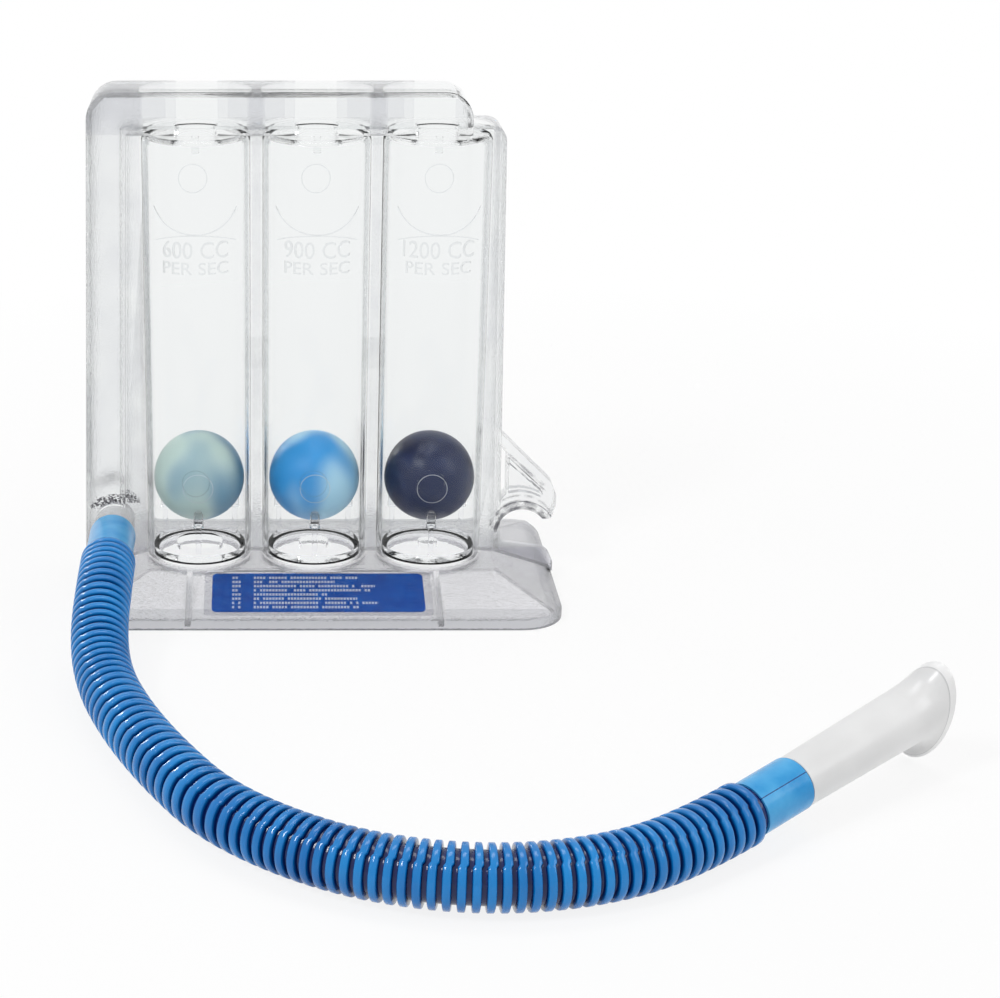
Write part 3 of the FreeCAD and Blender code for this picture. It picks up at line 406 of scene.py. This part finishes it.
SHELL = shell_material()
DISC = clear_plastic("clear_disc", srgb(252, 252, 253), 300, 0.0001, 0.03, 1.09)
PEG = clear_plastic("clear_peg", srgb(250, 251, 252), 300, 0.0001, 0.03, 1.18)
MARK = clear_plastic("clear_mark", srgb(243, 244, 245), 900, 0.0001, 0.05)
HOSE = hose_material()
PORT_SEAM = seam_side(PORT_ALONG, math.radians(150))
MOUTH_SEAM = seam_side(MOUTH_ALONG, math.radians(40))
PORT_START = Vector((PORT_X, 0, PORT_Z))
PORT_CUFF = cuff_material("port_cuff_blue", PORT_START, PORT_ALONG, PORT_SEAM)
MOUTH_CUFF = cuff_material("mouth_cuff_blue", MOUTH_END, MOUTH_ALONG, MOUTH_SEAM)
MOUTH = mouth_material()
LABEL = label_material()
BALL_COLOURS = {
    "600": ("ball_grey", srgb(106, 156, 188), srgb(206, 230, 224)),
    "900": ("ball_sky", srgb(58, 160, 232), srgb(182, 230, 254)),
    "1200": ("ball_navy", srgb(8, 14, 50), srgb(36, 48, 84)),
}
MATERIALS = {
    f"ball_{name}": ball_material(slot, ball_centre(name), dark, light)
    for name, (slot, dark, light) in BALL_COLOURS.items()
}
MATERIALS.update({f"seat_disc_{name}": DISC for name in TUBE_X})
MATERIALS.update({
    "front_shell": SHELL,
    "rear_shell": SHELL,
    "label": LABEL,
    "hose": HOSE,
    "hose_cuff_port": PORT_CUFF,
    "hose_cuff_mouth": MOUTH_CUFF,
    "mouthpiece": MOUTH,
})


# Mesh helpers
def piece(name, mesh, material, body, smooth=40):
    item = bpy.data.objects.new(name, mesh)
    bpy.context.scene.collection.objects.link(item)
    mesh.materials.clear()
    mesh.materials.append(material)
    mesh.shade_smooth()
    mesh.set_sharp_from_angle(angle=math.radians(smooth))
    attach(item, body)
    return item


def mesh_from(name, build):
    work = bmesh.new()
    build(work)
    bmesh.ops.remove_doubles(work, verts=work.verts, dist=1e-7)
    bmesh.ops.recalc_face_normals(work, faces=work.faces)
    mesh = bpy.data.meshes.new(name)
    work.to_mesh(mesh)
    work.free()
    return mesh


# A closed profile of (radius, height) pairs turned about Z
def turned(work, profile, steps, place):
    rings = []
    for radius, height in profile:
        ring = []
        for index in range(steps):
            angle = 2 * math.pi * index / steps
            point = Vector((radius * math.cos(angle), radius * math.sin(angle), height))
            ring.append(work.verts.new(place @ point))
        rings.append(ring)
    for ring, following in zip(rings, rings[1:] + rings[:1]):
        for index in range(steps):
            after = (index + 1) % steps
            work.faces.new((ring[index], ring[after], following[after], following[index]))


# The stage: floor, world and lamps
def stage():
    nodes = Nodes("floor")
    diffuse = nodes.add("ShaderNodeBsdfDiffuse", Color=(0.9, 0.9, 0.9, 1))
    glow = nodes.add("ShaderNodeEmission", Color=(1, 1, 1, 1), Strength=1.0)
    rays = nodes.add("ShaderNodeLightPath")
    seen = nodes.math("MAXIMUM", rays.outputs["Is Camera Ray"], rays.outputs["Is Transmission Ray"])
    seen = nodes.math("MAXIMUM", seen, rays.outputs["Is Glossy Ray"])
    # The floor takes the shadow near the object and is plain white away from it
    where = nodes.add("ShaderNodeVectorMath", operation="DISTANCE")
    nodes.link(nodes.position(), where.inputs[0])
    where.inputs[1].default_value = (0.03, -0.08, 0)
    away = nodes.add("ShaderNodeMapRange")
    span = {"From Min": 0.16, "From Max": 0.42, "To Min": 0.86, "To Max": 1.0}
    for socket, value in span.items():
        away.inputs[socket].default_value = value
    nodes.link(where.outputs["Value"], away.inputs["Value"])
    share = nodes.math("MULTIPLY", seen, away.outputs["Result"])
    blend = nodes.add("ShaderNodeMixShader")
    nodes.link(share, blend.inputs[0])
    nodes.link(diffuse.outputs[0], blend.inputs[1])
    nodes.link(glow.outputs[0], blend.inputs[2])
    floor_material = nodes.finish(blend.outputs[0])

    def build(work):
        bmesh.ops.create_grid(work, x_segments=2, y_segments=2, size=4)

    mesh = mesh_from("floor", build)
    floor = bpy.data.objects.new("floor", mesh)
    floor.location.z = -0.0003
    mesh.materials.append(floor_material)
    bpy.context.scene.collection.objects.link(floor)

    # A white room, darker behind the camera, as seen in gloss and through clear plastic
    world = bpy.data.worlds.new("studio")
    bpy.context.scene.world = world
    world.use_nodes = True
    tree = world.node_tree
    tree.nodes.clear()
    output = tree.nodes.new("ShaderNodeOutputWorld")
    rays = tree.nodes.new("ShaderNodeLightPath")
    direction = tree.nodes.new("ShaderNodeTexCoord")
    split = tree.nodes.new("ShaderNodeSeparateXYZ")
    tree.links.new(direction.outputs["Generated"], split.inputs[0])
    fade = tree.nodes.new("ShaderNodeMapRange")
    span = {"From Min": -0.8, "From Max": 0.1, "To Min": 0.8, "To Max": 1.0}
    for socket, value in span.items():
        fade.inputs[socket].default_value = value
    tree.links.new(split.outputs["Y"], fade.inputs["Value"])
    shown = []
    for strength in (0.43, 1.0, 1.0):
        shade = tree.nodes.new("ShaderNodeBackground")
        shade.inputs["Color"].default_value = (1, 1, 1, 1)
        shade.inputs["Strength"].default_value = strength
        shown.append(shade)
    light, room, backdrop = shown
    tree.links.new(fade.outputs["Result"], room.inputs["Strength"])
    through = tree.nodes.new("ShaderNodeMath")
    through.operation = "MAXIMUM"
    tree.links.new(rays.outputs["Is Glossy Ray"], through.inputs[0])
    tree.links.new(rays.outputs["Is Transmission Ray"], through.inputs[1])
    shader = light.outputs[0]
    seen = rays.outputs["Is Camera Ray"]
    for factor, other in ((through.outputs[0], room), (seen, backdrop)):
        blend = tree.nodes.new("ShaderNodeMixShader")
        tree.links.new(factor, blend.inputs[0])
        tree.links.new(shader, blend.inputs[1])
        tree.links.new(other.outputs[0], blend.inputs[2])
        shader = blend.outputs[0]
    tree.links.new(shader, output.inputs["Surface"])

    lamps = [
        ("key", (-0.45, -0.55, 0.75), (0.16, 0.24), 3.2),
        ("fill", (0.6, -0.35, 0.5), (0.3, 0.5), 1.2),
        ("top", (0.0, 0.1, 0.9), (0.6, 0.25), 1.9),
        ("rim", (-0.49, 0.56, 0.23), (0.1, 0.12), 0.6),
    ]
    for name, place, extent, power in lamps:
        data = bpy.data.lights.new(name, "AREA")
        data.shape = "RECTANGLE"
        data.size, data.size_y = extent
        data.energy = power
        lamp = bpy.data.objects.new(name, data)
        lamp.location = place
        target = Vector((0.01, -0.05, 0.05))
        lamp.rotation_euler = (target - Vector(place)).to_track_quat("-Z", "Y").to_euler()
        bpy.context.scene.collection.objects.link(lamp)


# Fitted to the photograph's straight edges and round chambers
def camera():
    data = bpy.data.cameras.new("camera")
    data.sensor_width = 36
    data.lens = 81.36
    data.shift_x = 0.2365
    data.clip_start = 0.01
    item = bpy.data.objects.new("camera", data)
    item.location = (-0.01644, -0.60214, 0.24447)
    item.rotation_euler = (math.radians(69.873), 0, math.radians(-0.041))
    bpy.context.scene.collection.objects.link(item)
    bpy.context.scene.camera = item


# The hose: ridges and grooves that follow the route's spline
def spline_points():
    curve = bpy.data.curves.new("route", "CURVE")
    curve.dimensions = "3D"
    curve.resolution_u = 48
    spline = curve.splines.new("NURBS")
    spline.points.add(len(HOSE_ROUTE) - 1)
    for point, place in zip(spline.points, HOSE_ROUTE):
        point.co = (*place, 1)
    spline.order_u = 3
    spline.use_endpoint_u = True
    item = bpy.data.objects.new("route", curve)
    bpy.context.scene.collection.objects.link(item)
    bpy.context.view_layer.update()
    mesh = bpy.data.meshes.new_from_object(item)
    points = [vertex.co.copy() for vertex in mesh.vertices]
    bpy.data.objects.remove(item)
    bpy.data.meshes.remove(mesh)
    return points


def evenly(points, count):
    lengths = [0.0]
    for before, after in zip(points, points[1:]):
        lengths.append(lengths[-1] + (after - before).length)
    total = lengths[-1]
    places = []
    index = 0
    for step in range(count + 1):
        wanted = total * step / count
        while index < len(points) - 2 and lengths[index + 1] < wanted:
            index += 1
        run = lengths[index + 1] - lengths[index]
        share = (wanted - lengths[index]) / run if run else 0
        places.append(points[index].lerp(points[index + 1], min(share, 1.0)))
    return places, total


def carried_frames(places):
    tangents = []
    for index in range(len(places)):
        before = places[max(index - 1, 0)]
        after = places[min(index + 1, len(places) - 1)]
        tangents.append((after - before).normalized())
    side = Vector((1, 0, 0))
    side = (side - tangents[0] * side.dot(tangents[0])).normalized()
    frames = []
    for place, tangent in zip(places, tangents):
        side = (side - tangent * side.dot(tangent)).normalized()
        frames.append((place, side, tangent.cross(side)))
    return frames


# One ridge and the groove after it, as shares of its pitch and of the ridge's height
RIDGE = [
    (0.00, 0.0), (0.04, 0.03), (0.07, 0.3), (0.09, 0.68), (0.13, 0.91), (0.19, 1.0), (0.38, 1.0),
    (0.58, 1.0), (0.64, 0.91), (0.68, 0.68), (0.70, 0.3), (0.73, 0.03), (0.78, 0.0), (0.92, 0.0),
]
RIDGE_PITCH = 0.0029
# The ridges jog a little at the mould's parting line
SEAM = math.radians(128)
JOG = 0.0002
LAST_GROOVE = 0.0009


def smooth_step(value, low, high):
    share = min(max((value - low) / (high - low), 0.0), 1.0)
    return share * share * (3 - 2 * share)


# The tube is stretched a little more in its first bend than elsewhere
def ridge_starts(total):
    starts = [0.0]
    while starts[-1] < total:
        along = starts[-1]
        stretch = smooth_step(along, 0.045, 0.075) * (1 - smooth_step(along, 0.125, 0.15))
        end = smooth_step(along, 0.22, 0.25)
        starts.append(along + RIDGE_PITCH + 0.0011 * stretch + 0.0004 * end)
    fit = (total - LAST_GROOVE) / starts[-1]
    return [start * fit for start in starts]


def hose():
    route = spline_points()
    fine, total = evenly(route, 2400)
    frames = carried_frames(fine)
    starts = ridge_starts(total)
    sections = []
    for start, following in zip(starts, starts[1:]):
        for share, height in RIDGE:
            sections.append((start + share * (following - start), height))
    sections.append((total, 0.0))
    steps = 72

    def build(work):
        relief = work.verts.layers.float.new("relief")
        rings = []
        for along, height in sections:
            radius = HOSE_GROOVE + (HOSE_RADIUS - HOSE_GROOVE) * height
            inward = min(along, total - along)
            jog = JOG * smooth_step(inward, 0.0004, 0.002)
            ring = []
            for index in range(steps):
                angle = 2 * math.pi * index / steps
                side_of_seam = 1 if math.sin(SEAM - angle) > 0 else -1
                spot = min(max(along + jog * side_of_seam, 0), total) / total * (len(frames) - 1)
                low = min(int(spot), len(frames) - 2)
                share = spot - low
                place = frames[low][0].lerp(frames[low + 1][0], share)
                side = frames[low][1].lerp(frames[low + 1][1], share)
                up = frames[low][2].lerp(frames[low + 1][2], share)
                outward = side * math.cos(angle) + up * math.sin(angle)
                vertex = work.verts.new(place + radius * outward)
                vertex[relief] = height
                ring.append(vertex)
            rings.append(ring)
        for ring, following in zip(rings, rings[1:]):
            for index in range(steps):
                after = (index + 1) % steps
                work.faces.new((ring[index], ring[after], following[after], following[index]))
        work.faces.new(rings[0][::-1])
        work.faces.new(rings[-1])

    item = piece("hose_corrugated", mesh_from("hose_corrugated", build), HOSE, "body", 50)
    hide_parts("hose")
    return item, fine


def dress_nodes():
    for name, item in NODES.items():
        item.data.materials.clear()
        item.data.materials.append(MATERIALS[name])


# Raised marks on the front of a chamber, bent round it from a flat drawing
def raised(name, mesh, centre, level, rise):
    for vertex in mesh.vertices:
        x, z, out = vertex.co
        angle = x / TUBE_RADIUS
        reach = TUBE_RADIUS - 0.00005 + out * rise
        vertex.co = (centre + reach * math.sin(angle), -reach * math.cos(angle), level + z)
    mesh.update()
    item = piece(name, mesh, MARK, "body", 30)
    return item


# A flat strip along a path, one unit thick, drawn as x, z and 0 or 1
def strip(name, path, width, closed=False):
    def build(work):
        rails = []
        count = len(path)
        for index, (x, z) in enumerate(path):
            before = path[index - 1] if closed or index else path[index]
            after = path[(index + 1) % count] if closed or index < count - 1 else path[index]
            along = Vector((after[0] - before[0], after[1] - before[1])).normalized()
            off = Vector((-along.y, along.x)) * width / 2
            rail = []
            for sign, out in ((-1, 0), (-0.5, 1), (0.5, 1), (1, 0)):
                rail.append(work.verts.new((x + off.x * sign, z + off.y * sign, out)))
            rails.append(rail)
        pairs = list(zip(rails, rails[1:] + rails[:1])) if closed else list(zip(rails, rails[1:]))
        for rail, following in pairs:
            for index in range(4):
                after = (index + 1) % 4
                work.faces.new((rail[index], rail[after], following[after], following[index]))
        if not closed:
            work.faces.new(rails[0][::-1])
            work.faces.new(rails[-1])

    return mesh_from(name, build)


def arc(centre_z, radius, start, end, steps):
    return [
        (
            radius * math.cos(math.radians(start + (end - start) * index / steps)),
            centre_z + radius * math.sin(math.radians(start + (end - start) * index / steps)),
        )
        for index in range(steps + 1)
    ]


def lettering(name, words, height, stretch):
    curve = bpy.data.curves.new(name, "FONT")
    curve.body = words
    curve.size = height
    curve.align_x = "CENTER"
    curve.extrude = 0.5
    curve.resolution_u = 4
    item = bpy.data.objects.new(name, curve)
    bpy.context.scene.collection.objects.link(item)
    bpy.context.view_layer.update()
    mesh = bpy.data.meshes.new_from_object(item)
    bpy.data.objects.remove(item)
    low = min(vertex.co.x for vertex in mesh.vertices)
    high = max(vertex.co.x for vertex in mesh.vertices)
    for vertex in mesh.vertices:
        vertex.co.x = (vertex.co.x - (low + high) / 2) * stretch
        vertex.co.z += 0.5
    return mesh


def marks():
    for name, centre in TUBE_X.items():
        circle = arc(0, 0.0038, 0, 360, 40)[:-1]
        for place, level in RING_LEVELS.items():
            ring = strip("ring", circle, 0.0003, True)
            raised(f"ring_{place}_{name}", ring, centre - 0.0005, level, 0.0001)
        bow = strip("bow", arc(BOW_LEVEL, 0.015, 213, 327, 40), 0.0004)
        raised(f"bow_{name}", bow, centre, 0, 0.00012)
        path = [(x / 1000, LINE_LEVEL - 0.002 * (x / 12) ** 2) for x in range(-12, 13)]
        raised(f"line_{name}", strip("line", path, 0.0003), centre, 0, 0.0001)
        number = lettering("number", f"{name} CC", 0.0066, 0.9)
        raised(f"number_{name}", number, centre, NUMBER_LEVEL, 0.00014)
        unit = lettering("unit", "PER SEC", 0.0048, 1.12)
        raised(f"unit_{name}", unit, centre, UNIT_LEVEL, 0.00014)


# The tapered sleeve round the head of each seat peg
def sleeves():
    profile = [
        (0.00120, 0.0236), (0.00135, 0.0216), (0.00145, 0.0198),
        (0.00116, 0.0198), (0.00113, 0.0236),
    ]
    for name, centre in TUBE_X.items():
        for turn in (-90, 30, 150):
            angle = math.radians(turn)
            x, y = centre + PEG_REACH * math.cos(angle), PEG_REACH * math.sin(angle)
            spot = Matrix.Translation((x, y, 0))
            mesh = mesh_from("sleeve", lambda work: turned(work, profile, 32, spot))
            item = piece(f"sleeve_{name}_{turn % 360}", mesh, PEG, "body")


stage()
camera()
dress_nodes()
marks()
sleeves()
hose_item, hose_line = hose()

bpy.context.scene.view_settings.view_transform = "Standard"
